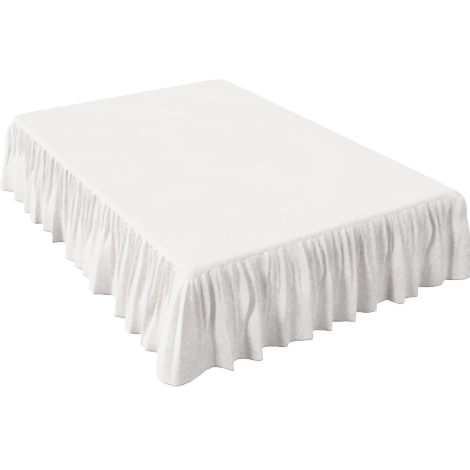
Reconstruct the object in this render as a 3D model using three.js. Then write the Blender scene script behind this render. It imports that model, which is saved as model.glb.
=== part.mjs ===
// A gathered bed skirt on a plain bed base, in millimetres, +Z up. The origin is on the floor under the
// middle of the bed. The foot of the bed faces -Y, its long sides face -X and +X. The skirt is a flat
// platform panel with a gathered ruffle sewn round its edge, in four lengths that join in valleys near the
// corners. The bed is the same from both ends: the head and the +X side are the foot and the -X side turned
// half round.
import * as THREE from "three";

// Bed and skirt.
const bedWidth = 1350;
const bedLength = 2000;
const bedTop = 425;
const cornerRadius = 38;
const pieceGap = 0.3;

// Platform panel.
const panelThickness = 2;
const panelEdgeReach = 25;
const panelCornerReach = 32;
const panelEdgeSteps = 4;
const panelEdgePower = 2;
const panelSagPower = 5;
const seamBelowTop = 17;
const cornerSag = 24;
const cornerSagReach = 115;
const panelColumnEvery = 10;

// Ruffle.
const ruffleThickness = 1.8;
const hemHeight = 8;
const hemLiftPerOut = 0.09;
const hemLiftFrom = 40;
const cornerHemDrop = 5;
const meanOut = 70;
const flareEase = 1.6;
const foldGrowth = 1.3;
const cornerFoldGrowth = 0.45;
const columnPitch = 17;
const cornerColumnPitch = 5;
const endColumnRoom = 1;

// Rows down the ruffle: share of the drop, and how far the small gathers stand in and out there.
// The ruffle bulges at the second corner, and hangs in at the one across from it.
const ruffleRows = [
  { down: 0, gather: 1, bulge: 0, hangIn: 0 },
  { down: 0.06, gather: 3.6, bulge: 14, hangIn: 2 },
  { down: 0.19, gather: 3.4, bulge: 16, hangIn: 8 },
  { down: 0.4, gather: 1.6, bulge: 6, hangIn: 18 },
  { down: 0.7, gather: 0, bulge: 0, hangIn: 12 },
  { down: 1, gather: 0, bulge: 0, hangIn: 0 },
];

// Hem of the end ruffle round the first two corners, a row for each crest, valley or shoulder, chosen by hand to
// the nearest 5 mm. along is measured on the seam from the middle of the first corner, and out is how far the
// hem stands out from the seam there.
const endFolds = [
  { along: -50, out: 85 },
  { along: -20, out: 140 },
  { along: -5, out: 150 },
  { along: 5, out: 115 },
  { along: 15, out: 75 },
  { along: 35, out: 45 },
  { along: 65, out: 45 },
  { along: 90, out: 70 },
  { along: 115, out: 115 },
  { along: 150, out: 60 },
  { along: 170, out: 55 },
  { along: 195, out: 65 },
  { along: 220, out: 100 },
  { along: 245, out: 115 },
  { along: 280, out: 50 },
  { along: 300, out: 40 },
  { along: 340, out: 60 },
  { along: 375, out: 90 },
  { along: 405, out: 70 },
  { along: 445, out: 85 },
  { along: 490, out: 105 },
  { along: 530, out: 50 },
  { along: 565, out: 70 },
  { along: 595, out: 95 },
  { along: 635, out: 40 },
  { along: 680, out: 65 },
  { along: 720, out: 90 },
  { along: 760, out: 30 },
  { along: 805, out: 65 },
  { along: 845, out: 75 },
  { along: 880, out: 30 },
  { along: 945, out: 25 },
  { along: 960, out: 85 },
  { along: 980, out: 95 },
  { along: 1020, out: 65 },
  { along: 1070, out: 80 },
  { along: 1130, out: 20 },
  { along: 1175, out: 50 },
  { along: 1225, out: 65 },
  { along: 1285, out: 35 },
  { along: 1310, out: 60 },
  { along: 1320, out: 95 },
  { along: 1335, out: 115 },
  { along: 1360, out: 105 },
  { along: 1405, out: 65 },
];

// Hem of the side ruffle, in the same way. along starts where the straight side starts.
const sideFolds = [
  { along: 100, out: 40 },
  { along: 135, out: 65 },
  { along: 165, out: 85 },
  { along: 215, out: 60 },
  { along: 265, out: 35 },
  { along: 335, out: 90 },
  { along: 360, out: 75 },
  { along: 395, out: 45 },
  { along: 440, out: 95 },
  { along: 495, out: 90 },
  { along: 510, out: 60 },
  { along: 545, out: 40 },
  { along: 585, out: 80 },
  { along: 625, out: 55 },
  { along: 665, out: 30 },
  { along: 740, out: 90 },
  { along: 755, out: 35 },
  { along: 830, out: 30 },
  { along: 920, out: 90 },
  { along: 965, out: 70 },
  { along: 985, out: 60 },
  { along: 1015, out: 80 },
  { along: 1050, out: 70 },
  { along: 1075, out: 55 },
  { along: 1110, out: 80 },
  { along: 1150, out: 70 },
  { along: 1190, out: 85 },
  { along: 1250, out: 105 },
  { along: 1285, out: 105 },
  { along: 1310, out: 70 },
  { along: 1335, out: 35 },
  { along: 1420, out: 30 },
  { along: 1495, out: 100 },
  { along: 1530, out: 70 },
  { along: 1560, out: 45 },
  { along: 1605, out: 105 },
  { along: 1645, out: 100 },
  { along: 1665, out: 70 },
  { along: 1695, out: 45 },
  { along: 1740, out: 100 },
  { along: 1780, out: 100 },
  { along: 1815, out: 65 },
  { along: 1855, out: 40 },
];

// Bed base and legs. The base keeps clear of the cloth that falls over its edge.
const baseClearance = 8;
const baseDepth = 230;
const baseCornerRadius = 60;
const baseEdgeRadius = 24;
const legTopRadius = 30;
const legFootRadius = 24;
const legInsetX = 77;
const legInsetY = 117;
const legRowsAlongBed = 3;
const legSides = 24;

const linen = new THREE.MeshStandardMaterial({ color: 0xf1eeea, roughness: 0.95, metalness: 0 });
const ticking = new THREE.MeshStandardMaterial({ color: 0xd9d4cb, roughness: 0.9, metalness: 0 });
const beech = new THREE.MeshStandardMaterial({ color: 0xb98d5f, roughness: 0.55, metalness: 0 });

const quarterTurn = Math.PI / 2;
const halfWidth = bedWidth / 2;
const halfLength = bedLength / 2;
const quarterArc = quarterTurn * cornerRadius;
const endStraight = bedWidth - 2 * cornerRadius;
const sideStraight = bedLength - 2 * cornerRadius;
const halfRound = endStraight + sideStraight + 2 * quarterArc;
const sideStart = quarterArc / 2 + endStraight + quarterArc;
const cornerAlongs = [0, quarterArc + endStraight];

// Point and outward direction on the seam line, at a distance along it from the middle of the first corner.
function seamPoint(along) {
  const turned = Math.floor(along / halfRound);
  const sign = turned % 2 === 0 ? 1 : -1;
  let left = along - turned * halfRound;
  let point;
  let outward;
  const arcFrom = (centreX, centreY, startAngle) => {
    const angle = startAngle + left / cornerRadius;
    outward = [Math.cos(angle), Math.sin(angle)];
    point = [centreX + cornerRadius * outward[0], centreY + cornerRadius * outward[1]];
  };
  const centreX = halfWidth - cornerRadius;
  const centreY = halfLength - cornerRadius;
  if (left < quarterArc / 2) {
    arcFrom(-centreX, -centreY, 1.25 * Math.PI);
  } else if (left < quarterArc / 2 + endStraight) {
    left -= quarterArc / 2;
    outward = [0, -1];
    point = [-centreX + left, -halfLength];
  } else if (left < sideStart) {
    left -= quarterArc / 2 + endStraight;
    arcFrom(centreX, -centreY, 1.5 * Math.PI);
  } else if (left < sideStart + sideStraight) {
    left -= sideStart;
    outward = [1, 0];
    point = [halfWidth, -centreY + left];
  } else {
    left -= sideStart + sideStraight;
    arcFrom(centreX, centreY, 0);
  }
  return {
    point: [sign * point[0], sign * point[1]],
    outward: [sign * outward[0], sign * outward[1]],
  };
}

// How close a place on the seam is to the middle of a corner: 1 there, falling to 0 a reach away.
function nearCorner(along, reach) {
  const wrapped = ((along % halfRound) + halfRound) % halfRound;
  let near = 0;
  for (const corner of [...cornerAlongs, halfRound]) {
    const share = Math.min(1, Math.abs(wrapped - corner) / reach);
    near = Math.max(near, 0.5 + 0.5 * Math.cos(Math.PI * share));
  }
  return near;
}

// How close a place is to one corner of the four, in the same way.
function nearOneCorner(along, corner, reach) {
  const round = 2 * halfRound;
  const apart = (((along - corner) % round) + round) % round;
  const share = Math.min(1, Math.min(apart, round - apart) / reach);
  return 0.5 + 0.5 * Math.cos(Math.PI * share);
}

// Height of the seam between panel and ruffle. It sags over the corners.
function seamHeight(along) {
  return bedTop - seamBelowTop - cornerSag * nearCorner(along, cornerSagReach);
}

// A smooth curve through a fold table that never overshoots a crest or a valley.
function foldCurve(folds) {
  const slopes = folds.map((fold, i) => {
    const before = folds[i - 1];
    const after = folds[i + 1];
    if (!before || !after) return 0;
    const stepBefore = fold.along - before.along;
    const stepAfter = after.along - fold.along;
    const riseBefore = (fold.out - before.out) / stepBefore;
    const riseAfter = (after.out - fold.out) / stepAfter;
    if (riseBefore * riseAfter <= 0) return 0;
    const weightBefore = 2 * stepAfter + stepBefore;
    const weightAfter = stepAfter + 2 * stepBefore;
    return (weightBefore + weightAfter) / (weightBefore / riseBefore + weightAfter / riseAfter);
  });
  return (along) => {
    const last = folds.length - 2;
    const found = folds.findIndex((fold) => fold.along > along) - 1;
    const i = found < 0 ? (along < folds[0].along ? 0 : last) : Math.min(found, last);
    const step = folds[i + 1].along - folds[i].along;
    const t = Math.min(1, Math.max(0, (along - folds[i].along) / step));
    const t2 = t * t;
    const t3 = t2 * t;
    return (
      (2 * t3 - 3 * t2 + 1) * folds[i].out +
      (t3 - 2 * t2 + t) * step * slopes[i] +
      (3 * t2 - 2 * t3) * folds[i + 1].out +
      (t3 - t2) * step * slopes[i + 1]
    );
  };
}

// The hem as one curve half way round, end ruffle and then side ruffle. It starts in the valley where the
// other side ruffle ends. The rest is the same turned half round.
const sideHem = sideFolds.map((fold) => ({ along: fold.along + sideStart, out: fold.out }));
const sideEnd = sideHem[sideHem.length - 1];
const ruffleStart = sideEnd.along - halfRound;
const endLength = sideHem[0].along - ruffleStart;
const halfRoundFolds = [{ along: ruffleStart, out: sideEnd.out }, ...endFolds, ...sideHem];
const halfRoundHem = foldCurve(halfRoundFolds);

function hemOut(along) {
  const around = (((along - ruffleStart) % halfRound) + halfRound) % halfRound;
  return halfRoundHem(ruffleStart + around);
}

// Places along the hem where the ruffle has a column of points: several between each two rows of a fold
// table.
function ruffleColumns() {
  const columns = [];
  for (const half of [0, 1]) {
    for (let i = 0; i + 1 < halfRoundFolds.length; i += 1) {
      const from = halfRoundFolds[i].along;
      const step = halfRoundFolds[i + 1].along - from;
      const pitch = nearCorner(from + step / 2, cornerRadius) > 0 ? cornerColumnPitch : columnPitch;
      const parts = Math.max(1, Math.round(step / pitch));
      for (let part = 0; part < parts; part += 1) {
        columns.push(half * halfRound + from + (step * part) / parts);
      }
    }
  }
  return columns;
}

const columnAlongs = ruffleColumns();

// A point on the outer face of the ruffle. The cloth stands out more and more slowly on its way down, and
// the small gathers at the top run together into the folds of the hem. Over a corner the folds open nearer
// to the seam.
function rufflePoint(along, row, gatherSide) {
  const { point, outward } = seamPoint(along);
  const hem = hemOut(along);
  const flare = 1 - (1 - row.down) ** flareEase;
  const growth = foldGrowth + (cornerFoldGrowth - foldGrowth) * nearCorner(along, cornerSagReach);
  const folds = (hem - meanOut) * row.down ** growth + gatherSide * row.gather;
  const bulge = row.bulge * nearOneCorner(along, cornerAlongs[1], cornerSagReach);
  const hangIn = row.hangIn * nearOneCorner(along, cornerAlongs[1] + halfRound, cornerSagReach);
  const out = meanOut * flare + folds + bulge - hangIn;
  const top = seamHeight(along) - pieceGap;
  const hemCorner = cornerHemDrop * nearCorner(along, cornerSagReach);
  const foot = hemHeight + hemLiftPerOut * (hem - hemLiftFrom) - hemCorner;
  return new THREE.Vector3(
    point[0] + out * outward[0],
    point[1] + out * outward[1],
    top + (foot - top) * row.down,
  );
}

// Adds the two triangles of a four-cornered face to a list of triangles.
function pushQuad(triangles, a, b, c, d) {
  triangles.push(a, b, c, a, c, d);
}

function meshOf(name, positions, triangles, material) {
  const geometry = new THREE.BufferGeometry();
  geometry.setAttribute("position", new THREE.Float32BufferAttribute(positions, 3));
  geometry.setIndex(triangles);
  geometry.computeVertexNormals();
  const mesh = new THREE.Mesh(geometry, material);
  mesh.name = name;
  return mesh;
}

// A closed strip of cloth. Each column of its grid holds the points on the outer face from top to bottom,
// and the points before and after them, which give the direction across the cloth there.
function clothStrip(name, grid, thickness, material) {
  const columns = grid.length;
  const rows = grid[0].points.length;
  const positions = [];
  const triangles = [];
  const across = new THREE.Vector3();
  const down = new THREE.Vector3();
  const normal = new THREE.Vector3();
  const inner = new THREE.Vector3();
  for (const { points, before, after } of grid) {
    for (let j = 0; j < rows; j += 1) {
      across.subVectors(after[j], before[j]);
      down.subVectors(points[Math.min(j + 1, rows - 1)], points[Math.max(j - 1, 0)]);
      normal.crossVectors(down, across).normalize();
      inner.copy(points[j]).addScaledVector(normal, -thickness);
      positions.push(...points[j].toArray(), ...inner.toArray());
    }
  }
  const outerAt = (i, j) => 2 * (i * rows + j);
  const innerAt = (i, j) => outerAt(i, j) + 1;
  for (let i = 0; i + 1 < columns; i += 1) {
    for (let j = 0; j + 1 < rows; j += 1) {
      pushQuad(triangles, outerAt(i, j), outerAt(i, j + 1), outerAt(i + 1, j + 1), outerAt(i + 1, j));
      pushQuad(triangles, innerAt(i, j), innerAt(i + 1, j), innerAt(i + 1, j + 1), innerAt(i, j + 1));
    }
    pushQuad(triangles, outerAt(i, 0), outerAt(i + 1, 0), innerAt(i + 1, 0), innerAt(i, 0));
    const end = rows - 1;
    pushQuad(triangles, outerAt(i, end), innerAt(i, end), innerAt(i + 1, end), outerAt(i + 1, end));
  }
  const last = columns - 1;
  for (let j = 0; j + 1 < rows; j += 1) {
    pushQuad(triangles, outerAt(0, j), innerAt(0, j), innerAt(0, j + 1), outerAt(0, j + 1));
    pushQuad(triangles, outerAt(last, j), outerAt(last, j + 1), innerAt(last, j + 1), innerAt(last, j));
  }
  return meshOf(name, positions, triangles, material);
}

// One length of ruffle, from one place on the seam to another. Its two ends are ungathered, and take their
// direction from the plain folds alone, so that two lengths that meet end in the same plane.
function ruffleLength(name, from, to) {
  const places = [{ along: from + pieceGap / 2, gatherSide: 0 }];
  columnAlongs.forEach((along, i) => {
    const gatherSide = i % 2 === 0 ? 1 : -1;
    if (along > from + endColumnRoom && along < to - endColumnRoom) places.push({ along, gatherSide });
  });
  places.push({ along: to - pieceGap / 2, gatherSide: 0 });
  const columnAt = (place) => ruffleRows.map((row) => rufflePoint(place.along, row, place.gatherSide));
  const grid = places.map((place, i) => ({
    points: columnAt(place),
    before: columnAt(place.gatherSide ? places[i - 1] : { along: place.along - columnPitch, gatherSide: 0 }),
    after: columnAt(place.gatherSide ? places[i + 1] : { along: place.along + columnPitch, gatherSide: 0 }),
  }));
  return clothStrip(name, grid, ruffleThickness, linen);
}

// The platform panel: flat on top, falling softly over the edge of the base, and sewn to the ruffle at its
// lower edge, which is cut level. Outer and inner faces are rings of points joined to each other, with a fan
// across the flat middle of each.
function platformPanel(name) {
  const columns = columnAlongs.filter((along, i) => {
    return i % panelColumnEvery === 0 || nearCorner(along, cornerSagReach + 2 * columnPitch) > 0;
  });
  const shares = Array.from({ length: panelEdgeSteps + 1 }, (_, i) => i / panelEdgeSteps);
  const edgePoint = (along, share, thickness) => {
    const near = nearCorner(along, cornerSagReach);
    const reach = panelEdgeReach + (panelCornerReach - panelEdgeReach) * near;
    const sag = cornerSag * near;
    const fall = seamBelowTop * share ** panelEdgePower + sag * share ** panelSagPower;
    const edgeSlope = (seamBelowTop * panelEdgePower * share ** (panelEdgePower - 1)) / reach;
    const slope = edgeSlope + (sag * panelSagPower * share ** (panelSagPower - 1)) / reach;
    const inset = reach * (1 - share);
    const steep = Math.hypot(1, slope);
    if (share === 1) return { inset: inset + (thickness * steep) / slope, height: bedTop - fall };
    return { inset: inset + (thickness * slope) / steep, height: bedTop - fall - thickness / steep };
  };
  const positions = [];
  const triangles = [];
  for (const thickness of [0, panelThickness]) {
    for (const share of shares) {
      for (const along of columns) {
        const { point, outward } = seamPoint(along);
        const { inset, height } = edgePoint(along, share, thickness);
        positions.push(point[0] - inset * outward[0], point[1] - inset * outward[1], height);
      }
    }
  }
  const rings = shares.length;
  const count = columns.length;
  const at = (layer, ring, i) => (layer * rings + ring) * count + (i % count);
  const middleOuter = positions.length / 3;
  positions.push(0, 0, bedTop, 0, 0, bedTop - panelThickness);
  for (let i = 0; i < count; i += 1) {
    triangles.push(middleOuter, at(0, 0, i), at(0, 0, i + 1));
    triangles.push(middleOuter + 1, at(1, 0, i + 1), at(1, 0, i));
    for (let ring = 0; ring + 1 < rings; ring += 1) {
      pushQuad(triangles, at(0, ring, i), at(0, ring + 1, i), at(0, ring + 1, i + 1), at(0, ring, i + 1));
      pushQuad(triangles, at(1, ring, i), at(1, ring, i + 1), at(1, ring + 1, i + 1), at(1, ring + 1, i));
    }
    const edge = rings - 1;
    pushQuad(triangles, at(0, edge, i), at(1, edge, i), at(1, edge, i + 1), at(0, edge, i + 1));
  }
  return meshOf(name, positions, triangles, linen);
}

// The plain base: a padded box with rounded upright corners and rounded edges, just under the panel.
const baseTop = bedTop - panelThickness - pieceGap;
const baseBottom = baseTop - baseDepth;
const baseHalfWidth = halfWidth - baseClearance;
const baseHalfLength = halfLength - baseClearance;

function bedBase(name) {
  const outline = new THREE.Shape();
  const corners = [
    [baseHalfWidth, baseHalfLength, 0],
    [-baseHalfWidth, baseHalfLength, 1],
    [-baseHalfWidth, -baseHalfLength, 2],
    [baseHalfWidth, -baseHalfLength, 3],
  ];
  for (const [x, y, quarter] of corners) {
    const start = quarter * quarterTurn;
    const centreX = x - Math.sign(x) * baseCornerRadius;
    const centreY = y - Math.sign(y) * baseCornerRadius;
    outline.absarc(centreX, centreY, baseCornerRadius, start, start + quarterTurn, false);
  }
  const geometry = new THREE.ExtrudeGeometry(outline, {
    depth: baseDepth - 2 * baseEdgeRadius,
    bevelEnabled: true,
    bevelSize: baseEdgeRadius,
    bevelOffset: -baseEdgeRadius,
    bevelThickness: baseEdgeRadius,
    bevelSegments: 3,
    curveSegments: 6,
  });
  geometry.translate(0, 0, baseBottom + baseEdgeRadius);
  const base = new THREE.Mesh(geometry, ticking);
  base.name = name;
  return base;
}

function bedLeg(name, x, y) {
  const height = baseBottom - pieceGap;
  const geometry = new THREE.CylinderGeometry(legTopRadius, legFootRadius, height, legSides);
  geometry.rotateX(quarterTurn);
  const leg = new THREE.Mesh(geometry, beech);
  leg.position.set(x, y, height / 2);
  leg.name = name;
  return leg;
}

const bed = new THREE.Group();
bed.add(platformPanel("platform_panel"));

const lengths = [
  { name: "ruffle_foot", from: ruffleStart, long: endLength },
  { name: "ruffle_right", from: ruffleStart + endLength, long: halfRound - endLength },
  { name: "ruffle_head", from: ruffleStart + halfRound, long: endLength },
  { name: "ruffle_left", from: ruffleStart + halfRound + endLength, long: halfRound - endLength },
];
for (const length of lengths) {
  bed.add(ruffleLength(length.name, length.from, length.from + length.long));
}

bed.add(bedBase("bed_base"));

const legSpanY = 2 * (baseHalfLength - legInsetY);
let legNumber = 1;
for (let rowAlong = 0; rowAlong < legRowsAlongBed; rowAlong += 1) {
  for (const side of [-1, 1]) {
    const y = -legSpanY / 2 + (legSpanY * rowAlong) / (legRowsAlongBed - 1);
    bed.add(bedLeg("leg_" + legNumber, side * (baseHalfWidth - legInsetX), y));
    legNumber += 1;
  }
}

export default bed;
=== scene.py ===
import math

import bmesh
import bpy
import numpy as np
from mathutils import Matrix, Vector


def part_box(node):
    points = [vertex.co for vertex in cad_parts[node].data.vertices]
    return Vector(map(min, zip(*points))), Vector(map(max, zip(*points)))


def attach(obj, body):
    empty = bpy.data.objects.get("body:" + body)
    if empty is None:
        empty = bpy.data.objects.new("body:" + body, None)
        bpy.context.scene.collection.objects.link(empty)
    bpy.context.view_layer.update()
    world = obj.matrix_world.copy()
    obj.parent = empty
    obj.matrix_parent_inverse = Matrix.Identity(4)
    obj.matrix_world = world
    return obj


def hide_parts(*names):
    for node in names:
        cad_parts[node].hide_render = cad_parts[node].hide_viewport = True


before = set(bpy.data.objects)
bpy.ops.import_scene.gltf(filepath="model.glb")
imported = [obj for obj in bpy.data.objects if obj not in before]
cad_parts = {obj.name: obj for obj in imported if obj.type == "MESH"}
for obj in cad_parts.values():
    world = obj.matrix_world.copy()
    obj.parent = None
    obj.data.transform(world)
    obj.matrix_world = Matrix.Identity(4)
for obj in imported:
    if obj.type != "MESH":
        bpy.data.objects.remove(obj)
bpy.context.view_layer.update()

mm = 0.001

bed = {
    "halfWidth": 675 * mm,
    "halfLength": 1000 * mm,
    "top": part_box("platform_panel")[1].z,
    "cornerRadius": 38 * mm,
    "seamBelowTop": 17 * mm,
    "cornerSag": 24 * mm,          # the seam drops over each corner
    "cornerSagReach": 115 * mm,
    "seamGap": 0.3 * mm,
    "push": 20 * mm,               # one side corner stands out, drawn taut, and hardly sags
    "pushReach": 90 * mm,
    "pushFade": 0.3,               # share of the drop over which the ruffle comes back from it
    "tautShare": 0.6,
}

quarterArc = 0.5 * math.pi * bed["cornerRadius"]
endStraight = 2 * (bed["halfWidth"] - bed["cornerRadius"])
sideStraight = 2 * (bed["halfLength"] - bed["cornerRadius"])
halfRound = endStraight + sideStraight + 2 * quarterArc
sideStart = 1.5 * quarterArc + endStraight     # along the seam from the middle of the near corner
farCorner = quarterArc + endStraight


def seamPlace(along):
    # points and outward directions on the seam line, for an array of distances along it
    turns = np.floor(along / halfRound)
    sign = np.where(turns % 2 == 0, 1.0, -1.0)
    left = along - turns * halfRound
    cx = bed["halfWidth"] - bed["cornerRadius"]
    cy = bed["halfLength"] - bed["cornerRadius"]
    radius = bed["cornerRadius"]
    endFrom = quarterArc / 2
    arcFrom = endFrom + endStraight
    lastArc = sideStart + sideStraight
    angle = np.select(
        [left < endFrom, left < arcFrom, left < sideStart, left < lastArc],
        [1.25 * math.pi + left / radius, 1.5 * math.pi, 1.5 * math.pi + (left - arcFrom) / radius, 0.0],
        (left - lastArc) / radius,
    )
    centreX = np.select(
        [left < endFrom, left < arcFrom], [-cx, -cx + left - endFrom], cx
    )
    centreY = np.select(
        [left < sideStart, left < lastArc], [-cy, -cy + left - sideStart], cy
    )
    outX = np.cos(angle)
    outY = np.sin(angle)
    return sign * (centreX + radius * outX), sign * (centreY + radius * outY), sign * outX, sign * outY


def nearCorner(along, reach):
    # 1 in the middle of a corner, falling smoothly to 0 a reach away
    left = np.mod(along, halfRound)
    near = 0
    for corner in (0, farCorner, halfRound):
        near = np.maximum(near, 0.5 + 0.5 * np.cos(math.pi * np.minimum(1, abs(left - corner) / reach)))
    return near


def nearOneCorner(along, corner, reach):
    # the same for one corner of the four
    lap = 2 * halfRound
    apart = np.mod(along - corner, lap)
    return 0.5 + 0.5 * np.cos(math.pi * np.minimum(1, np.minimum(apart, lap - apart) / reach))


def seamHeight(along):
    # the height of the seam, which drops over the corners
    sag = bed["cornerSag"] * nearCorner(along, bed["cornerSagReach"])
    taut = bed["tautShare"] * nearOneCorner(along, farCorner, bed["cornerSagReach"])
    return bed["top"] - bed["seamBelowTop"] - sag * (1 - taut)


def seamPush(along):
    # how far the seam stands out at the taut corner
    return bed["push"] * nearOneCorner(along, farCorner, bed["pushReach"])


def smoothStep(low, high, value):
    # 0 up to low, 1 from high, and an even S between them
    share = np.clip((value - low) / (high - low), 0, 1)
    return share * share * (3 - 2 * share)


ruffle = {
    "hemHeight": 8 * mm,
    "hemLiftPerOut": 0.09,
    "hemLiftFrom": 40 * mm,
    "cornerHemDrop": 5 * mm,
    "meanOut": 70 * mm,            # how far the hem stands out on the whole
    "flareEase": 1.6,
    "endFoldGrowth": 0.9,
    "sideFoldGrowth": 1.2,
    "cornerFoldGrowth": 0.45,
    "leastOut": -7 * mm,           # nothing goes further in, because of the base
    "columnPitch": 3.15 * mm,      # along the cloth
    "rowPitch": 10.5 * mm,
    "seamRowPitch": 2.6 * mm,      # the rows lie closer just under the seam
    "seamRows": 12,
    "thickness": 1.3 * mm,
    "puff": 5 * mm,                # the gathers puff out just under the seam
    "puffRise": 0.025,             # over this share of the drop, and back between the next two
    "puffFrom": 0.05,
    "puffReach": 0.3,
    "growthTurn": 100 * mm,        # over which the folds change from the end's growth to the side's
    "roughFrom": 0.1,              # share of the drop from which the cloth is fully crumpled
    "limitFrom": 0.02,             # and from which leastOut holds
    "limitSoftness": 3 * mm,
    "hemDepth": 27 * mm,           # a turned and stitched hem
    "hemSoftness": 3 * mm,
    "hemStep": 1.1 * mm,
    "endGatherAtSeam": 0.35,       # share of a gather's depth that it has at the seam
    "sideGatherAtSeam": 0.9,
    # spread of a ridge before and after its crest, in half widths, and how much higher it is drawn
    "endRidge": (1.3, 0.6, 1.6),
    "endTrough": (0.55, 1.9, 1.1),
    "sideRidge": (1.6, 0.5, 2.2),
    "sideTrough": (0.5, 1.7, 2.2),
    "slopePower": 1.25,            # a gather rises at an even slope on one side
    "dropPower": 2.2,              # and drops steeply on the other
    "tuck": 1.6 * mm,              # the top edge goes a little way up inside the seam
}

drop = bed["top"] - bed["seamBelowTop"] - ruffle["hemHeight"]

# the hem of the end ruffle, a row for each crest, valley or shoulder. The places were worked out by another
# program and rounded to 5 mm: (along the seam from the middle of the near corner, out from the seam), mm
endFolds = [
    (-50, 85), (-20, 140), (-5, 150), (5, 115), (15, 75), (35, 45), (65, 45), (90, 70), (115, 115),
    (150, 60), (170, 55), (195, 65), (220, 100), (245, 115), (280, 50), (300, 40), (340, 60), (375, 90),
    (405, 70), (445, 85), (490, 105), (530, 50), (565, 70), (595, 95), (635, 40), (680, 65), (720, 90),
    (760, 30), (805, 65), (845, 75), (880, 30), (945, 25), (960, 85), (980, 95), (1020, 65), (1070, 80),
    (1130, 20), (1175, 50), (1225, 65), (1285, 35), (1310, 60), (1320, 95), (1335, 115), (1360, 105),
    (1405, 65),
]

# the same for the hem of the side ruffle, along from where the straight side starts, mm
sideFolds = [
    (100, 40), (135, 65), (165, 85), (215, 60), (265, 35), (335, 90), (360, 75), (395, 45), (440, 95),
    (495, 90), (510, 60), (545, 40), (585, 80), (625, 55), (665, 30), (740, 90), (755, 35), (830, 30),
    (920, 90), (965, 70), (985, 60), (1015, 80), (1050, 70), (1075, 55), (1110, 80), (1150, 70),
    (1190, 85), (1250, 105), (1285, 105), (1310, 70), (1335, 35), (1420, 30), (1495, 100), (1530, 70),
    (1560, 45), (1605, 105), (1645, 100), (1665, 70), (1695, 45), (1740, 100), (1780, 100), (1815, 65),
    (1855, 40),
]

# gathers that run down from the seam of the end ruffle, each a soft ridge (+) or trough (-): along at the
# seam, along a third of the way down, along where it dies out, share of the drop where it dies out, height
# and half width in mm
endGathers = [
    (60, 63, 22, 0.80, 11, 11), (84, 80, 58, 0.62, -13, 12), (98, 98, 106, 0.75, 9, 10),
    (122, 136, 128, 0.46, 5, 8), (142, 150, 146, 0.34, -7, 9), (170, 168, 160, 0.85, 7, 10),
    (190, 192, 186, 0.32, -7, 9), (211, 218, 176, 0.80, 10, 10), (226, 232, 206, 0.66, -15, 12),
    (250, 258, 270, 0.80, 9, 11), (274, 272, 268, 0.30, -4, 8), (300, 296, 284, 0.60, -10, 11),
    (330, 316, 296, 0.72, 9, 9), (348, 340, 312, 0.74, 6, 9), (376, 374, 348, 0.62, -9, 10),
    (398, 394, 362, 0.76, 10, 9), (420, 438, 412, 0.66, -10, 11), (438, 452, 452, 0.50, 6, 9),
    (462, 470, 468, 0.40, -6, 9), (488, 494, 484, 0.62, 10, 9), (496, 517, 508, 0.52, -12, 11),
    (528, 534, 528, 0.90, 8, 11), (546, 548, 540, 0.30, -5, 8), (560, 572, 544, 0.62, 9, 9),
    (567, 580, 554, 0.62, -15, 11), (590, 596, 622, 0.78, 9, 11), (612, 612, 614, 0.28, -5, 8),
    (630, 630, 628, 0.44, 7, 9), (640, 648, 640, 0.40, -9, 9), (661, 665, 652, 0.56, 8, 10),
    (678, 682, 662, 0.72, -10, 11), (698, 700, 700, 0.66, 9, 9), (707, 716, 714, 0.50, -9, 10),
    (737, 735, 734, 0.92, 9, 11), (750, 748, 746, 0.34, -5, 8), (766, 768, 754, 0.54, 9, 9),
    (770, 778, 766, 0.62, -13, 12), (780, 798, 820, 0.72, 9, 10), (806, 812, 808, 0.26, -4, 8),
    (828, 832, 834, 0.44, -8, 9), (846, 848, 850, 0.40, 5, 9), (858, 862, 856, 0.54, -7, 9),
    (872, 872, 866, 0.58, 6, 8), (886, 886, 878, 0.58, -7, 9), (904, 916, 890, 0.68, 9, 10),
    (917, 932, 902, 0.72, -16, 12), (938, 943, 956, 0.84, 9, 10), (962, 966, 968, 0.30, -4, 8),
    (984, 994, 1000, 0.56, -9, 10), (1010, 1016, 1016, 0.46, 6, 10), (1047, 1056, 1062, 0.60, -11, 10),
    (1028, 1034, 1036, 0.40, 5, 9), (1068, 1074, 1078, 0.42, 6, 9), (1084, 1093, 1096, 0.42, -7, 9),
    (1112, 1120, 1114, 0.38, 5, 10), (1134, 1160, 1120, 0.74, 9, 11), (1147, 1171, 1144, 0.66, -16, 12),
    (1168, 1194, 1212, 0.66, 10, 10), (1197, 1203, 1206, 0.34, -8, 9), (1212, 1216, 1222, 0.40, 6, 8),
    (1222, 1240, 1246, 0.44, -9, 10), (1254, 1246, 1236, 0.62, 7, 11), (1288, 1268, 1256, 0.68, -13, 15),
    (1312, 1310, 1308, 0.60, 8, 12), (1344, 1346, 1346, 0.50, 5, 12), (1376, 1377, 1372, 0.66, -10, 9),
    (1396, 1396, 1392, 0.40, 5, 9), (1414, 1416, 1416, 0.36, -6, 9), (1438, 1440, 1440, 0.40, 5, 9),
    (44, 42, 38, 0.60, -9, 8), (30, 29, 28, 0.80, 7, 7), (19, 18, 18, 0.75, -8, 6), (12, 12, 13, 0.55, 6, 6),
    (6, 6, 7, 0.45, -6, 5), (0, -1, -1, 0.75, 8, 5), (-8, -8, -7, 0.90, -12, 6), (-16, -16, -14, 0.95, 8, 8),
    (-25, -24, -24, 0.55, -8, 6), (-36, -34, -34, 0.60, 6, 8), (-50, -46, -44, 0.60, -10, 8),
    (-64, -62, -60, 0.55, 7, 8), (-80, -80, -78, 0.55, -9, 8),
]

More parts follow.
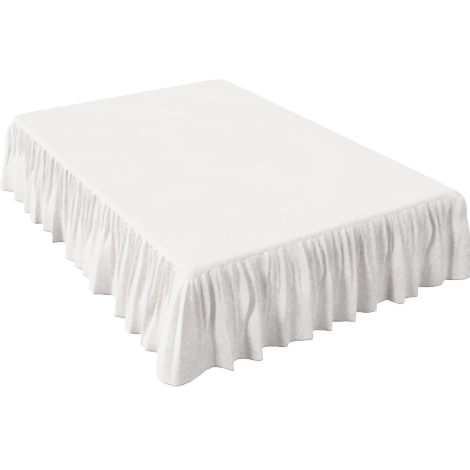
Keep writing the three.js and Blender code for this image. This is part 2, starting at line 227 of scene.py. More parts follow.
# the same for the side ruffle, along from where the straight side starts
sideGathers = [
    (64, 62, 60, 0.50, -9, 10), (96, 94, 92, 0.40, -6, 8), (126, 124, 126, 0.45, 6, 10),
    (156, 156, 158, 0.35, -7, 8), (189, 188, 186, 0.40, -9, 9), (222, 218, 216, 0.36, -6, 8),
    (254, 252, 250, 0.40, -9, 9), (282, 293, 294, 0.45, -9, 9), (314, 312, 312, 0.34, -8, 8),
    (344, 342, 346, 0.56, 7, 10), (374, 370, 366, 0.45, -10, 9), (411, 408, 404, 0.40, -7, 8),
    (449, 446, 444, 0.45, -10, 9), (482, 482, 482, 0.60, 7, 10), (524, 529, 524, 0.60, -11, 10),
    (564, 573, 574, 0.45, -10, 9), (598, 594, 592, 0.50, 6, 10), (634, 619, 617, 0.60, -11, 10),
    (684, 682, 680, 0.45, -9, 9), (719, 718, 716, 0.35, -8, 8), (749, 748, 744, 0.55, -8, 9),
    (780, 776, 768, 0.60, 7, 10), (812, 812, 799, 0.80, -12, 10), (862, 858, 854, 0.90, -9, 10),
    (894, 892, 890, 0.35, -7, 8), (928, 912, 908, 0.60, -10, 10), (948, 946, 944, 0.60, 6, 9),
    (970, 984, 975, 0.75, -13, 11), (1004, 1002, 1000, 0.35, -6, 8), (1036, 1036, 1036, 0.40, -8, 9),
    (1056, 1054, 1052, 0.50, 6, 9), (1080, 1076, 1072, 0.65, -12, 10), (1110, 1104, 1098, 0.60, 7, 10),
    (1142, 1129, 1118, 0.60, -11, 10), (1175, 1206, 1210, 0.70, -12, 11), (1222, 1226, 1230, 0.70, 7, 11),
    (1254, 1254, 1254, 0.36, -8, 9), (1290, 1302, 1304, 0.40, -9, 9), (1338, 1345, 1342, 0.80, -12, 11),
    (1362, 1364, 1366, 0.40, 6, 9), (1380, 1394, 1396, 0.50, -10, 9), (1416, 1438, 1438, 0.45, -9, 9),
    (1438, 1444, 1446, 0.60, 6, 9), (1460, 1449, 1446, 0.60, -10, 9), (1484, 1484, 1490, 0.65, 8, 10),
    (1515, 1523, 1534, 0.80, -13, 11), (1546, 1540, 1536, 0.50, 7, 9), (1579, 1554, 1550, 0.70, -12, 10),
    (1610, 1608, 1606, 0.70, 8, 10), (1645, 1655, 1655, 0.65, -12, 10), (1680, 1690, 1690, 0.45, -10, 9),
    (1704, 1702, 1704, 0.60, 8, 10), (1729, 1727, 1727, 0.50, -9, 9), (1752, 1750, 1746, 0.60, 8, 10),
    (1785, 1779, 1749, 0.90, -17, 12), (1814, 1812, 1806, 0.65, 8, 9), (1832, 1834, 1836, 0.40, -8, 7),
    (1854, 1858, 1866, 0.70, -12, 9), (1880, 1880, 1880, 0.50, 7, 8),
]

# how far the ruffle bulges at one side corner and hangs in at the other, mm at shares of the drop
cornerDowns = (0, 0.06, 0.19, 0.4, 0.7, 1)
cornerBulge = (0, 0, 6, 6, 0, 0)
cornerHangIn = (0, 2, 8, 18, 12, 0)
slack = {"height": 1.6 * mm, "pitchAlong": 34 * mm, "pitchDown": 90 * mm, "seed": 5}
crinkle = {"height": 0.8 * mm, "pitchAlong": 15 * mm, "pitchDown": 38 * mm, "seed": 6}

gather = {
    "bend": 0.3,                   # share of the drop where a gather's line may bend
    "leastRun": 0.05,              # and the least share from there to its foot
    "start": (-0.01, 0.015),       # it starts at the seam
    "grown": 0.25,                 # share of the drop where it has its full depth
    "fade": (0.6, 1.25),           # it dies out between these shares of its own reach
    "widening": 0.7,               # and widens on the way down
    "span": 9,                     # half widths from it that it is worked out for
}

sideHem = [(along * mm + sideStart, out * mm) for along, out in sideFolds]
ruffleStart = sideHem[-1][0] - halfRound
endLength = sideHem[0][0] - ruffleStart
halfHem = [(ruffleStart, sideHem[-1][1])] + [(a * mm, o * mm) for a, o in endFolds] + sideHem
endWays = (0, ruffle["endGatherAtSeam"], ruffle["endRidge"], ruffle["endTrough"])
sideWays = (sideStart, ruffle["sideGatherAtSeam"], ruffle["sideRidge"], ruffle["sideTrough"])
halfGathers = [endWays + row for row in endGathers] + [sideWays + row for row in sideGathers]


def foldCurve(points, places):
    # a smooth curve through a fold table that never overshoots a crest or a valley
    at = np.array([p[0] for p in points])
    out = np.array([p[1] for p in points])
    step = np.diff(at)
    rise = np.diff(out) / step
    slope = np.zeros(len(at))
    before = 2 * step[1:] + step[:-1]
    after = step[1:] + 2 * step[:-1]
    turning = rise[:-1] * rise[1:] <= 0
    safeBefore = np.where(turning, 1, rise[:-1])
    safeAfter = np.where(turning, 1, rise[1:])
    slope[1:-1] = np.where(turning, 0, (before + after) / (before / safeBefore + after / safeAfter))
    i = np.clip(np.searchsorted(at, places, side="right") - 1, 0, len(step) - 1)
    t = np.clip((places - at[i]) / step[i], 0, 1)
    rising = t * t * (3 - 2 * t)
    return (
        out[i] * (1 - rising)
        + out[i + 1] * rising
        + step[i] * (t * (1 - t) ** 2 * slope[i] - t * t * (1 - t) * slope[i + 1])
    )


def hemOut(along):
    around = np.mod(along - ruffleStart, halfRound)
    return foldCurve(halfHem, ruffleStart + around)


def wrapped(difference):
    # a difference of two places along the seam, the short way round a half turn of the bed
    return np.mod(difference + 0.5 * halfRound, halfRound) - 0.5 * halfRound


def gatherOut(along, down):
    # the listed ridges and troughs, for arrays of the same shape. Each ridge falls steeply on the side
    # of the next place along the seam, into the steep side of its trough
    total = np.zeros(along.shape)
    fadeFrom, fadeTo = gather["fade"]
    for start, atSeam, ridge, trough, seam, bend, foot, reach, height, width in halfGathers:
        seam = start + seam * mm
        bend = start + bend * mm
        foot = start + foot * mm
        span = abs(seam - foot) + abs(seam - bend) + gather["span"] * width * mm
        columns = np.where(abs(wrapped(along[:, 0] - seam)) < span)[0]
        if not len(columns):
            continue
        t = down[columns]
        end = max(reach, gather["bend"] + gather["leastRun"])
        upper = seam + (bend - seam) * smoothStep(0, gather["bend"], t)
        lower = bend + (foot - bend) * smoothStep(gather["bend"], end, t)
        offset = wrapped(along[columns] - np.where(t < gather["bend"], upper, lower))
        grown = atSeam + (1 - atSeam) * smoothStep(0, gather["grown"], t)
        fading = 1 - smoothStep(fadeFrom * reach, fadeTo * reach, t)
        strength = grown * smoothStep(*gather["start"], t) * fading
        before, after, scale = ridge if height > 0 else trough
        side = np.where(offset < 0, before, after)
        spread = width * mm * side * (1 + gather["widening"] * t) / fanOut(along[columns], t)
        power = np.where(side > 1, ruffle["slopePower"], ruffle["dropPower"])
        total[columns] += scale * height * mm * strength * np.exp(-(abs(offset) / spread) ** power)
    return total


def fanOut(along, down):
    # how much wider the cloth fans out round a corner than its seam is there
    near = nearCorner(along, 1.1 * quarterArc)
    return 1 + near * ruffle["meanOut"] * (1 - (1 - down) ** ruffle["flareEase"]) / bed["cornerRadius"]


def crumple(along, down, kind):
    # soft seeded unevenness of the cloth, the same after a half turn of the bed
    across = round(halfRound / kind["pitchAlong"])
    rows = round(0.4 / kind["pitchDown"]) + 3
    heights = np.random.default_rng(kind["seed"]).uniform(-kind["height"], kind["height"], (across, rows))
    u = np.mod(along - ruffleStart, halfRound) / halfRound * across
    v = np.clip(down, 0, 1) * (rows - 2)
    i = np.floor(u).astype(int)
    j = np.floor(v).astype(int)
    a = smoothStep(0, 1, u - i)
    b = smoothStep(0, 1, v - j)
    i = i % across
    k = (i + 1) % across
    upper = heights[i, j] * (1 - a) + heights[k, j] * a
    lower = heights[i, j + 1] * (1 - a) + heights[k, j + 1] * a
    return upper * (1 - b) + lower * b


fine = {
    "seed": 11,
    "pitch": 15 * mm,              # small pleats at the seam, between the gathers
    "height": 4.6 * mm,
    "width": 4.8 * mm,
    "reach": 0.36,                 # share of the drop
    "lean": 12 * mm,
    "margin": 0.3,                 # pitches left without a pleat at each end of half a turn
    "start": (-0.02, 0.03),
    "span": 5,                     # widths from a pleat that it is worked out for
}


def fineGathers(along, down):
    # short seeded pleats just under the seam
    chance = np.random.default_rng(fine["seed"])
    total = np.zeros(along.shape)
    margin = fine["margin"] * fine["pitch"]
    place = ruffleStart + margin
    while place < ruffleStart + halfRound - margin:
        height = fine["height"] * chance.uniform(-1, 1)
        reach = fine["reach"] * chance.uniform(0.35, 1.3)
        width = fine["width"] * chance.uniform(0.7, 1.3)
        lean = fine["lean"] * chance.uniform(-1, 1)
        columns = np.where(abs(wrapped(along[:, 0] - place)) < fine["span"] * width)[0]
        t = down[columns]
        line = place + lean * t / reach
        strength = smoothStep(*fine["start"], t) * (1 - smoothStep(0.3 * reach, reach, t))
        total[columns] += height * strength * np.exp(-((wrapped(along[columns] - line) / width) ** 2))
        place += fine["pitch"] * chance.uniform(0.6, 1.4)
    return total


def foldGrowth(along):
    # how late the folds of the hem grow on the way down: it differs at the end, the side and the corners
    left = np.mod(along - ruffleStart, halfRound) + ruffleStart
    turn = ruffle["growthTurn"]
    onEnd = smoothStep(-turn, turn, left) * (1 - smoothStep(sideStart - turn, sideStart + turn, left))
    growth = ruffle["sideFoldGrowth"] + (ruffle["endFoldGrowth"] - ruffle["sideFoldGrowth"]) * onEnd
    return growth + (ruffle["cornerFoldGrowth"] - growth) * nearCorner(along, bed["cornerSagReach"])


def puffOut(down):
    # the gathers stand out on the whole just under the seam
    rise = 1 - np.exp(-down / ruffle["puffRise"])
    return ruffle["puff"] * rise * (1 - smoothStep(ruffle["puffFrom"], ruffle["puffReach"], down))


def cornerSlack(along, down):
    # the bulge at one side corner and the hang-in at the other
    reach = bed["cornerSagReach"]
    bulge = np.interp(down, cornerDowns, cornerBulge) * nearOneCorner(along, farCorner, reach)
    hangIn = np.interp(down, cornerDowns, cornerHangIn) * nearOneCorner(along, farCorner + halfRound, reach)
    return mm * (bulge - hangIn)


def turnedHem(down):
    # the hem is two layers more, so it stands out by a small step
    aboveHem = (1 - down) * drop
    low = ruffle["hemDepth"] - ruffle["hemSoftness"]
    high = ruffle["hemDepth"] + ruffle["hemSoftness"]
    return ruffle["hemStep"] * (1 - smoothStep(low, high, aboveHem))


def keepOffBase(out, down):
    # nothing goes further in than the edge of the base allows, and it nears that limit softly
    begun = smoothStep(0, ruffle["limitFrom"], down)
    over = out - ruffle["leastOut"] * begun
    return out - over + 0.5 * (over + np.sqrt(over ** 2 + ruffle["limitSoftness"] ** 2 * begun))


def ruffleSurface(along, down):
    # points on the outer face, for arrays of the same shape
    inSeam = down < 0
    tucked = np.minimum(down, 0)
    down = np.maximum(down, 0)
    x, y, outX, outY = seamPlace(along)
    hem = hemOut(along)
    out = ruffle["meanOut"] * (1 - (1 - down) ** ruffle["flareEase"])
    out = out + (hem - ruffle["meanOut"]) * down ** foldGrowth(along)
    out = out + gatherOut(along, down) + puffOut(down) + fineGathers(along, down)
    rough = crumple(along, down, slack) + crumple(along, down, crinkle)
    out = out + cornerSlack(along, down) + rough * smoothStep(0, ruffle["roughFrom"], down)
    out = keepOffBase(out + turnedHem(down), down)
    out = np.where(inSeam, -ruffle["tuck"], out)
    out = out + seamPush(along) * (1 - smoothStep(0, bed["pushFade"], down))
    top = seamHeight(along) - bed["seamGap"]
    foot = ruffle["hemHeight"] + ruffle["hemLiftPerOut"] * (hem - ruffle["hemLiftFrom"])
    foot = foot - ruffle["cornerHemDrop"] * nearCorner(along, bed["cornerSagReach"])
    return x + out * outX, y + out * outY, top + (foot - top) * (down + tucked)


def columnPlaces(start, end):
    # places along the seam that lie evenly along the folded cloth
    dense = np.linspace(start, end, 6000)
    high, low = 0.08, 0.25         # two rows that the gathers are measured on, as shares of the drop
    gathers = gatherOut(*np.meshgrid(dense, np.array([high, low]), indexing="ij"))
    weight = 0.8                   # a fold's depth counts a little less than its width
    stretch = np.hypot(np.diff(dense), weight * np.diff(hemOut(dense)))
    stretch = np.hypot(stretch, weight * np.hypot(*np.diff(gathers, axis=0).T))
    run = np.concatenate([[0], np.cumsum(stretch)])
    count = max(2, round(run[-1] / ruffle["columnPitch"]))
    return np.interp(np.linspace(0, run[-1], count + 1), run, dense)


def rowPlaces():
    # shares of the drop, close together under the seam
    close = np.arange(ruffle["seamRows"]) * ruffle["seamRowPitch"]
    count = round((drop - close[-1]) / ruffle["rowPitch"])
    rest = np.linspace(close[-1], drop, count + 1)[1:]
    return np.concatenate([[-ruffle["tuck"]], close, rest]) / drop


def gridSheet(name, points, uv):
    # a sheet of quads from arrays of points, columns across and rows down, with its cloth coordinates as UVs
    columns, rows = points.shape[:2]
    shape = bmesh.new()
    shape.loops.layers.uv.new("cloth")
    bmesh.ops.create_grid(shape, x_segments=columns - 1, y_segments=rows - 1, size=1, calc_uvs=False)
    mesh = bpy.data.meshes.new(name)
    shape.to_mesh(mesh)
    shape.free()
    order = gridOrder(mesh, columns, rows)
    mesh.vertices.foreach_set("co", points.reshape(-1, 3)[order].ravel())
    corners = np.zeros(len(mesh.loops), dtype=int)
    mesh.loops.foreach_get("vertex_index", corners)
    mesh.uv_layers["cloth"].data.foreach_set("uv", uv.reshape(-1, 2)[order][corners].ravel())
    mesh.polygons.foreach_set("use_smooth", np.ones(len(mesh.polygons), dtype=bool))
    mesh.update()
    piece = bpy.data.objects.new(name, mesh)
    bpy.context.scene.collection.objects.link(piece)
    return piece


def gridOrder(mesh, columns, rows):
    # the place of each vertex of a fresh grid in an array of columns by rows
    flat = np.zeros(3 * len(mesh.vertices))
    mesh.vertices.foreach_get("co", flat)
    flat = flat.reshape(-1, 3)
    i = np.rint((flat[:, 0] + 1) / 2 * (columns - 1)).astype(int)
    j = np.rint((1 - flat[:, 1]) / 2 * (rows - 1)).astype(int)
    return i * rows + j


def applyModifiers(piece):
    bpy.context.view_layer.update()
    graph = bpy.context.evaluated_depsgraph_get()
    finished = bpy.data.meshes.new_from_object(piece.evaluated_get(graph))
    old = piece.data
    piece.modifiers.clear()
    piece.data = finished
    bpy.data.meshes.remove(old)


def thicken(piece, thickness, offset):
    solid = piece.modifiers.new("thickness", "SOLIDIFY")
    solid.thickness = thickness
    solid.offset = offset
    applyModifiers(piece)


def ruffleLength(name, start, length):
    # one length of the ruffle, and how wide its cloth was before it was gathered
    end = start + length
    alongs = columnPlaces(start + 0.15 * mm, end - 0.15 * mm)
    downs = rowPlaces()
    along, down = np.meshgrid(alongs, downs, indexing="ij")
    x, y, z = ruffleSurface(along, down)
    points = np.stack([x, y, z], axis=-1)
    clothWidth = np.linalg.norm(np.diff(points, axis=0), axis=2).sum(axis=0).max()
    across = np.linspace(0, clothWidth, len(alongs))
    uv = np.stack(np.meshgrid(across, drop * downs, indexing="ij"), axis=-1)
    piece = gridSheet(name, points, uv)
    thicken(piece, ruffle["thickness"], -1)
    return piece, clothWidth


def linear(hexColour):
    # an sRGB hex value as the linear colour the shader takes
    parts = [int(hexColour[i:i + 2], 16) / 255 for i in (1, 3, 5)]
    return [p / 12.92 if p <= 0.04045 else ((p + 0.055) / 1.055) ** 2.4 for p in parts] + [1]


def addNode(tree, kind, settings=None, **links):
    # adds a node, sets its properties, and links or sets its sockets: _0, _1 are sockets by number
    node = tree.nodes.new(kind)
    for key, value in (settings or {}).items():
        setattr(node, key, value)
    for key, value in links.items():
        socket = node.inputs[int(key[1:])] if key[0] == "_" else node.inputs[key.replace("__", " ")]
        if isinstance(value, bpy.types.NodeSocket):
            tree.links.new(value, socket)
        else:
            socket.default_value = value
    return node


def newMaterial(name, roughness):
    material = bpy.data.materials.new(name)
    material.use_nodes = True
    tree = material.node_tree
    shader = tree.nodes["Principled BSDF"]
    shader.inputs["Roughness"].default_value = roughness
    return material, tree, shader


bandsPerMetre = 0.314              # wave texture scale for one band a metre: it has 3.18 bands for each unit

linen = {
    "threadPitch": 1.6 * mm,       # real threads are 0.6 mm apart: drawn coarser, so that the weave shows
    "threadWander": 4.0,
    "slubLength": 30 * mm,
    "slubThickness": 2.8 * mm,     # real slubs are about 1 mm thick: drawn coarser too
    "warpSlubLength": 24 * mm,
    "speck": 3.2 * mm,
    "patch": 240 * mm,
    "warpWeight": 0.9,             # how much each pattern counts beside the slubs of the weft
    "speckWeight": 0.9,
    "patchWeight": 0.4,
    "toneFrom": 1.15,              # the sum of them that gives the shade tone, and the light one
    "toneTo": 2.05,
    "weaveRelief": 0.35,
    "stitchDent": -1.2,
    "roughness": 0.92,
    "sheen": 0.15,
    "sheenRoughness": 0.6,
    "hemStitch": 0.372,            # how far under the seam the hem is stitched
    "stitchWidth": 1.4 * mm,
    "stitchLength": 5 * mm,
}
ruffleTones = {"light": "#f6f3f1", "shade": "#d0ccca", "relief": 0.55}
panelTones = {"light": "#e9e6e3", "shade": "#cdcac6", "relief": 0.4}


def threads(tree, place, along, across):
    # noise drawn out along the threads: thick and thin places in the yarn
    stretched = addNode(tree, "ShaderNodeMapping", None, Vector=place, Scale=(1 / along, 1 / across, 1))
    return addNode(tree, "ShaderNodeTexNoise", None, Vector=stretched.outputs["Vector"], Scale=1.0,
                   Detail=2.0).outputs["Fac"]


def math2(tree, operation, first, second, third=0.5):
    # one step of arithmetic on sockets or numbers
    kind = {"operation": operation}
    return addNode(tree, "ShaderNodeMath", kind, _0=first, _1=second, _2=third).outputs["Value"]


def stitchedHem(tree, place, relief):
    # a row of stitches holds the turned hem: small dents in a line
    split = addNode(tree, "ShaderNodeSeparateXYZ", None, Vector=place)
    row = math2(tree, "COMPARE", split.outputs["Y"], linen["hemStitch"], 0.5 * linen["stitchWidth"])
    beat = math2(tree, "PINGPONG", split.outputs["X"], 0.5 * linen["stitchLength"])
    dent = math2(tree, "MULTIPLY", row, math2(tree, "GREATER_THAN", beat, 0.15 * linen["stitchLength"]))
    return math2(tree, "MULTIPLY_ADD", dent, linen["stitchDent"], relief)


def linenCloth(name, tones, stitched):
    # linen and cotton, plain woven, washed: matt and off-white, and slubs in both threads catch the light
    material, tree, shader = newMaterial(name, linen["roughness"])
    coordinates = addNode(tree, "ShaderNodeTexCoord")
    place = coordinates.outputs["UV"]
    waves = [
        addNode(tree, "ShaderNodeTexWave", {"bands_direction": direction}, Vector=place,
                Scale=bandsPerMetre / linen["threadPitch"], Distortion=linen["threadWander"],
                Detail=2.0).outputs["Fac"]
        for direction in ("X", "Y")
    ]
    weave = math2(tree, "MULTIPLY", *waves)
    weftSlub = threads(tree, place, linen["slubLength"], linen["slubThickness"])
    warpSlub = threads(tree, place, linen["slubThickness"], linen["warpSlubLength"])
    specks = threads(tree, place, linen["speck"], linen["speck"])
    slub = math2(tree, "MULTIPLY_ADD", warpSlub, linen["warpWeight"], weftSlub)
    slub = math2(tree, "MULTIPLY_ADD", specks, linen["speckWeight"], slub)
    patches = addNode(tree, "ShaderNodeTexNoise", None, Vector=coordinates.outputs["Object"],
                      Scale=1 / linen["patch"], Detail=3.0)
    tone = math2(tree, "MULTIPLY_ADD", patches.outputs["Fac"], linen["patchWeight"], slub)
    spread = addNode(tree, "ShaderNodeMapRange", None, Value=tone, From__Min=linen["toneFrom"],
                     From__Max=linen["toneTo"])
    colour = addNode(tree, "ShaderNodeMix", {"data_type": "RGBA"}, _0=spread.outputs["Result"],
                     _6=linear(tones["shade"]), _7=linear(tones["light"]))
    tree.links.new(colour.outputs[2], shader.inputs["Base Color"])
    relief = math2(tree, "MULTIPLY_ADD", weave, linen["weaveRelief"], slub)
    if stitched:
        relief = stitchedHem(tree, place, relief)
    bump = addNode(tree, "ShaderNodeBump", None, Height=relief, Strength=tones["relief"], Distance=1.0 * mm)
    tree.links.new(bump.outputs["Normal"], shader.inputs["Normal"])
    shader.inputs["Sheen Weight"].default_value = linen["sheen"]
    shader.inputs["Sheen Roughness"].default_value = linen["sheenRoughness"]
    return material


ticking = {
    "light": "#d9d5cc",
    "shade": "#bdb8ad",
    "ribPitch": 3.2 * mm,          # a real twill rib is 0.8 mm: drawn coarser
    "patchesPerMetre": 7.0,
    "ribWeight": 0.3,
    "patchWeight": 0.9,
    "relief": 0.4,
    "reliefDepth": 0.5 * mm,
    "roughness": 0.85,
}


def tickingCloth():
    # cotton ticking over the base: close diagonal ribs, matt, a little greyer than the skirt
    material, tree, shader = newMaterial("cotton ticking, twill woven", ticking["roughness"])
    place = addNode(tree, "ShaderNodeTexCoord").outputs["Object"]
    ribs = addNode(tree, "ShaderNodeTexWave", {"bands_direction": "DIAGONAL"}, Vector=place,
                   Scale=bandsPerMetre / ticking["ribPitch"], Distortion=0.6, Detail=1.0)
    patches = addNode(tree, "ShaderNodeTexNoise", None, Vector=place, Scale=ticking["patchesPerMetre"],
                      Detail=4.0)
    faded = math2(tree, "MULTIPLY", patches.outputs["Fac"], ticking["patchWeight"])
    tone = math2(tree, "MULTIPLY_ADD", ribs.outputs["Fac"], ticking["ribWeight"], faded)
    colour = addNode(tree, "ShaderNodeMix", {"data_type": "RGBA"}, _0=tone, _6=linear(ticking["shade"]),
                     _7=linear(ticking["light"]))
    tree.links.new(colour.outputs[2], shader.inputs["Base Color"])
    bump = addNode(tree, "ShaderNodeBump", None, Height=ribs.outputs["Fac"], Strength=ticking["relief"],
                   Distance=ticking["reliefDepth"])
    tree.links.new(bump.outputs["Normal"], shader.inputs["Normal"])
    return material


beech = {
    "light": "#cfa77a",
    "shade": "#a97c50",
    "fleck": "#8a5f3a",
    "grainWidth": 4 * mm,
    "grainLength": 160 * mm,
    "fleckWidth": 0.9 * mm,
    "fleckLength": 7 * mm,
    "fleckFrom": 0.62,             # noise from which a fleck shows, and from which it is dark
    "fleckTo": 0.72,
    "relief": 0.15,
    "reliefDepth": 0.3 * mm,
    "roughness": 0.45,
}


def beechWood():
    # oiled beech, turned: pinkish straight grain with the short dark flecks that beech has, a soft gloss
    material, tree, shader = newMaterial("beech, oiled", beech["roughness"])
    place = addNode(tree, "ShaderNodeTexCoord").outputs["Object"]
    wide = 1 / beech["grainWidth"]
    thin = 1 / beech["fleckWidth"]
    grainPlace = addNode(tree, "ShaderNodeMapping", None, Vector=place,
                         Scale=(wide, wide, 1 / beech["grainLength"]))
    grain = addNode(tree, "ShaderNodeTexNoise", None, Vector=grainPlace.outputs["Vector"], Scale=1.0,
                    Detail=5.0, Distortion=0.4)
    fleckPlace = addNode(tree, "ShaderNodeMapping", None, Vector=place,
                         Scale=(thin, thin, 1 / beech["fleckLength"]))
    flecks = addNode(tree, "ShaderNodeTexNoise", None, Vector=fleckPlace.outputs["Vector"], Scale=1.0,
                     Detail=1.0)
    marks = addNode(tree, "ShaderNodeMapRange", None, Value=flecks.outputs["Fac"],
                    From__Min=beech["fleckFrom"], From__Max=beech["fleckTo"])
    wood = addNode(tree, "ShaderNodeMix", {"data_type": "RGBA"}, _0=grain.outputs["Fac"],
                   _6=linear(beech["shade"]), _7=linear(beech["light"]))
    colour = addNode(tree, "ShaderNodeMix", {"data_type": "RGBA"}, _0=marks.outputs["Result"],
                     _6=wood.outputs[2], _7=linear(beech["fleck"]))
    tree.links.new(colour.outputs[2], shader.inputs["Base Color"])
    bump = addNode(tree, "ShaderNodeBump", None, Height=grain.outputs["Fac"], Strength=beech["relief"],
                   Distance=beech["reliefDepth"])
    tree.links.new(bump.outputs["Normal"], shader.inputs["Normal"])
    return material


def setMaterial(piece, material):
    piece.data.materials.clear()
    piece.data.materials.append(material)


panel = {
    "pitch": 9 * mm,
    "edgeReach": 25 * mm,          # how far in from the seam the edge starts to fall
    "cornerReach": 46 * mm,
    "edgePower": 2.6,
    "sagPower": 2.6,
    "edgeRings": 14,
    "edgeCrowd": 1.6,              # the rings crowd towards the seam
    "thickness": 1.5 * mm,
    "leastRadius": 2 * mm,         # of the innermost ring's corners
    "unevenness": 0.9 * mm,
    "unevenScale": 320 * mm,
    "unevenFrom": (30 * mm, 120 * mm),         # in from the seam
    "pullRow": 0.06,               # the gathers of this row of the ruffle pull at the panel's edge
    "pullShare": 0.2,
    "pullFrom": (0, 12 * mm),
    "pullTo": (14 * mm, 50 * mm),
}


def panelSheet():
    # one cloth over the whole top, which falls softly to the seam all round
    reach = panel["cornerReach"]
    flatX = bed["halfWidth"] - reach
    flatY = bed["halfLength"] - reach
    rim = (1 - (1 - np.linspace(0, 1, panel["edgeRings"] + 1)[1:]) ** panel["edgeCrowd"]) * reach

    def lines(flat):
        middle = np.linspace(-flat, flat, round(2 * flat / panel["pitch"]) + 1)
        return np.concatenate([-(flat + rim[::-1]), middle, flat + rim])

    u, v = np.meshgrid(lines(flatX), lines(flatY), indexing="ij")
    inset = np.minimum(bed["halfWidth"] - abs(u), bed["halfLength"] - abs(v))
    limitX = bed["halfWidth"] - np.minimum(inset, reach)
    limitY = bed["halfLength"] - np.minimum(inset, reach)
    radius = np.maximum(bed["cornerRadius"] - inset, panel["leastRadius"])
    dx = abs(u) - (limitX - radius)
    dy = abs(v) - (limitY - radius)
    inCorner = (dx > 0) & (dy > 0) & (inset < reach)
    shrink = np.where(inCorner, np.maximum(dx, dy) / np.maximum(np.hypot(dx, dy), 1e-9), 1)
    x = np.sign(u) * np.where(inCorner, limitX - radius + dx * shrink, abs(u))
    y = np.sign(v) * np.where(inCorner, limitY - radius + dy * shrink, abs(v))
    along = alongOf(x, y)
    near = nearCorner(along, bed["cornerSagReach"])
    local = panel["edgeReach"] + (panel["cornerReach"] - panel["edgeReach"]) * near
    share = np.clip(1 - inset / local, 0, 1)
    fall = bed["seamBelowTop"] * share ** panel["edgePower"]
    sag = bed["top"] - bed["seamBelowTop"] - seamHeight(along)
    fall = fall + sag * share ** panel["sagPower"]
    cornerShare = np.clip(1 - inset / reach, 0, 1)
    _, _, outX, outY = seamPlace(along)
    push = seamPush(along) * cornerShare
    return x + push * outX, y + push * outY, bed["top"] - fall, u, v, inset, along


def alongOf(x, y):
    # the distance along the seam of the nearest place on it
    flip = np.where((x / bed["halfWidth"] - y / bed["halfLength"]) < 0, -1.0, 1.0)
    fx = x * flip
    fy = y * flip
    cx = bed["halfWidth"] - bed["cornerRadius"]
    cy = bed["halfLength"] - bed["cornerRadius"]
    toEnd = bed["halfLength"] + fy
    toSide = bed["halfWidth"] - fx
    onEnd = quarterArc / 2 + fx + cx
    onSide = sideStart + fy + cy
    # round the near corner, the next one and the last of the half turn
    nearAngle = np.mod(np.arctan2(fy + cy, fx + cx), 2 * math.pi) - 1.25 * math.pi
    nextAngle = np.arctan2(fy + cy, np.maximum(fx - cx, 1e-9)) + 0.5 * math.pi
    lastAngle = np.arctan2(fy - cy, fx - cx)
    onNear = nearAngle * bed["cornerRadius"]
    onNext = quarterArc / 2 + endStraight + nextAngle * bed["cornerRadius"]
    onLast = sideStart + sideStraight + lastAngle * bed["cornerRadius"]
    along = np.where(toEnd < toSide, onEnd, onSide)
    along = np.where((fx > cx) & (fy < -cy), onNext, along)
    along = np.where((fx < -cx) & (fy < -cy), onNear, along)
    along = np.where((fx > cx) & (fy > cy), onLast, along)
    return along + np.where(flip < 0, halfRound, 0)


def unevenTop(x, y):
    # the cloth lies in long shallow waves, which wander sideways
    scale = panel["unevenScale"]
    across = np.sin(2 * math.pi * (x / scale + 0.35 * np.sin(3.1 * y)))
    down = np.sin(2 * math.pi * (y / (1.3 * scale) + 0.3 * np.sin(4.3 * x)))
    return panel["unevenness"] * (0.5 + 0.5 * (across * down))


def makePanel(name):
    x, y, z, u, v, inset, along = panelSheet()
    z = z + unevenTop(x, y) * smoothStep(*panel["unevenFrom"], inset)
    pull = panel["pullShare"] * gatherOut(along, np.full(along.shape, panel["pullRow"]))
    z = z + pull * smoothStep(*panel["pullFrom"], inset) * (1 - smoothStep(*panel["pullTo"], inset))
    points = np.stack([x, y, z], axis=-1)[:, ::-1]
    uv = np.stack([u, v], axis=-1)[:, ::-1]
    piece = gridSheet(name, points, uv)
    thicken(piece, panel["thickness"], -1)
    return piece


ruffleCloth = linenCloth("linen and cotton, slubby, plain woven", ruffleTones, True)
panelCloth = linenCloth("linen and cotton, smooth, plain woven", panelTones, False)

lengths = [
    ("foot", ruffleStart, endLength),
    ("right", ruffleStart + endLength, halfRound - endLength),
    ("head", ruffleStart + halfRound, endLength),
    ("left", ruffleStart + halfRound + endLength, halfRound - endLength),
]
for where, start, length in lengths:
    piece, clothWidth = ruffleLength("ruffle_" + where + "_cloth", start, length)
    setMaterial(piece, ruffleCloth)
    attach(piece, "root")
    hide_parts("ruffle_" + where)
    print("ruffle", where, "cloth width", round(clothWidth, 3), "triangles", 2 * len(piece.data.polygons))

panelPiece = makePanel("platform_panel_cloth")
setMaterial(panelPiece, panelCloth)
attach(panelPiece, "root")
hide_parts("platform_panel")
print("panel done, triangles", 2 * len(panelPiece.data.polygons))

setMaterial(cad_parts["bed_base"], tickingCloth())
print("bed base done")
legWood = beechWood()
for number in range(1, 7):
    setMaterial(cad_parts["leg_" + str(number)], legWood)
print("six legs done")


light = {
    "above": 0.64,                 # the room's own light from above and from below, and the heights between
    "below": 0.2,
    "belowTo": -0.2,
    "aboveFrom": 0.3,
    "key": (-0.65, 0.48, 0.59),    # towards the light: from behind on the left
    "keyPower": 2.15,
    "keyAngle": 18,                # degrees across: a large soft box
    "side": (-0.87, -0.08, 0.49),  # a weaker one straight from the left
    "sidePower": 1.45,
    "sideAngle": 12,
    "fill": (0.32, -0.80, 0.50),   # and a broad one in front on the right
    "fillPower": 1.0,
    "fillAngle": 40,
}


def addSun(name, towards, power, angle):
    data = bpy.data.lights.new(name, "SUN")
    data.energy = power
    data.angle = math.radians(angle)
    lamp = bpy.data.objects.new(name, data)
    lamp.rotation_euler = Vector(towards).to_track_quat("Z", "Y").to_euler()
    bpy.context.scene.collection.objects.link(lamp)


studio = {
    "half": 30,                    # metres: half the floor's side
    "wall": 25,                    # metres: how high the backdrop stands round it
    "colour": "#b4b4b4",
    "glowColour": "#ffffff",
    "glow": 3.0,
    "roughness": 0.9,
}


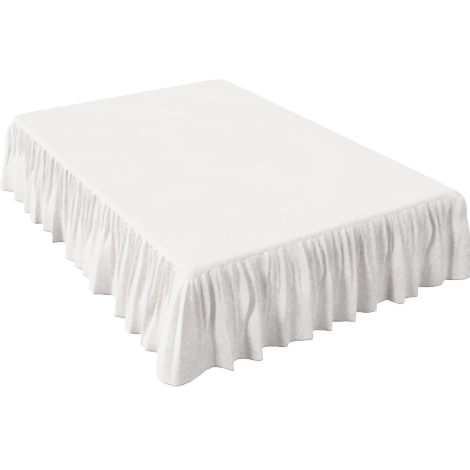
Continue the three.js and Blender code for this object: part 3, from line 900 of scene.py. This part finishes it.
def stageObject(name, shape):
    # makes an object of a bmesh and links it to the scene, for the studio
    mesh = bpy.data.meshes.new(name)
    shape.to_mesh(mesh)
    shape.free()
    stageable = bpy.data.objects.new(name, mesh)
    bpy.context.scene.collection.objects.link(stageable)
    return stageable


def floorGrid():
    shape = bmesh.new()
    bmesh.ops.create_grid(shape, x_segments=1, y_segments=1, size=studio["half"])
    return shape


def backdropWalls():
    # the floor's four edges drawn up into walls, without the floor itself
    shape = floorGrid()
    bottom = shape.faces[:]
    edge = bmesh.ops.extrude_edge_only(shape, edges=shape.edges[:])
    raised = [part for part in edge["geom"] if isinstance(part, bmesh.types.BMVert)]
    bmesh.ops.translate(shape, verts=raised, vec=(0, 0, studio["wall"]))
    bmesh.ops.delete(shape, geom=bottom, context="FACES_ONLY")
    return shape


floor = stageObject("floor", floorGrid())
backdrop = stageObject("backdrop", backdropWalls())
# opal acrylic lit from beneath, as product studios use: it gives a white floor with hardly a shadow
opal, _, opalShader = newMaterial("opal acrylic floor", studio["roughness"])
opalShader.inputs["Base Color"].default_value = linear(studio["colour"])
opalShader.inputs["Emission Color"].default_value = linear(studio["glowColour"])
opalShader.inputs["Emission Strength"].default_value = studio["glow"]
setMaterial(floor, opal)
setMaterial(backdrop, opal)
floor.visible_diffuse = False      # it glows evenly without lighting the cloth from beneath
backdrop.visible_diffuse = False   # nor does the wall round it light the cloth or shade it
backdrop.visible_glossy = False
backdrop.visible_shadow = False

world = bpy.data.worlds.new("studio")
world.use_nodes = True
# a pale room: bright above, dim under the level of the floor
worldTree = world.node_tree
direction = addNode(worldTree, "ShaderNodeTexCoord")
split = addNode(worldTree, "ShaderNodeSeparateXYZ", None, Vector=direction.outputs["Generated"])
rise = addNode(worldTree, "ShaderNodeMapRange", {"interpolation_type": "SMOOTHSTEP"},
               Value=split.outputs["Z"], From__Min=light["belowTo"], From__Max=light["aboveFrom"],
               To__Min=light["below"], To__Max=light["above"])
sky = worldTree.nodes["Background"]
sky.inputs["Color"].default_value = (1, 1, 1, 1)
worldTree.links.new(rise.outputs["Result"], sky.inputs["Strength"])
bpy.context.scene.world = world
addSun("key, high behind left", light["key"], light["keyPower"], light["keyAngle"])
addSun("side, from the left", light["side"], light["sidePower"], light["sideAngle"])
addSun("fill, in front right", light["fill"], light["fillPower"], light["fillAngle"])

view = {
    "around": -31.8,               # degrees round from straight in front of the foot end
    "above": 27.5,                 # degrees over level
    "distance": 4.135,
    "aside": 0.124,                # to the right of the line to the origin, and up from it
    "raised": -0.048,
    "lens": 62,
    "sensor": 36,
}
cameraData = bpy.data.cameras.new("camera")
cameraData.lens = view["lens"]
cameraData.sensor_width = view["sensor"]
camera = bpy.data.objects.new("camera", cameraData)
around = math.radians(view["around"])
above = math.radians(view["above"])
turn = Matrix.Rotation(around, 4, "Z") @ Matrix.Rotation(math.radians(90) - above, 4, "X")
camera.matrix_world = turn @ Matrix.Translation((view["aside"], view["raised"], view["distance"]))
bpy.context.scene.collection.objects.link(camera)
bpy.context.scene.camera = camera
print("floor, lights and camera done")

# the camera's own shoulder: whites roll off gently under the white of the floor, in shares of whiteLevel
whiteLevel = 3
rollOff = [
    (0, 0), (0.05, 0.08), (0.1, 0.20), (0.15, 0.37), (0.2, 0.57), (0.25, 0.73), (0.3, 0.82), (0.35, 0.87),
    (0.417, 0.905), (0.5, 0.93), (1, 1),
]
shown = bpy.context.scene.view_settings
shown.view_transform = "Standard"
shown.use_curve_mapping = True
shown.curve_mapping.white_level = (whiteLevel,) * 3
tone = shown.curve_mapping.curves[3]
tone.points[0].location = rollOff[0]
tone.points[1].location = rollOff[-1]
for spot in rollOff[1:-1]:
    tone.points.new(*spot)
shown.curve_mapping.update()
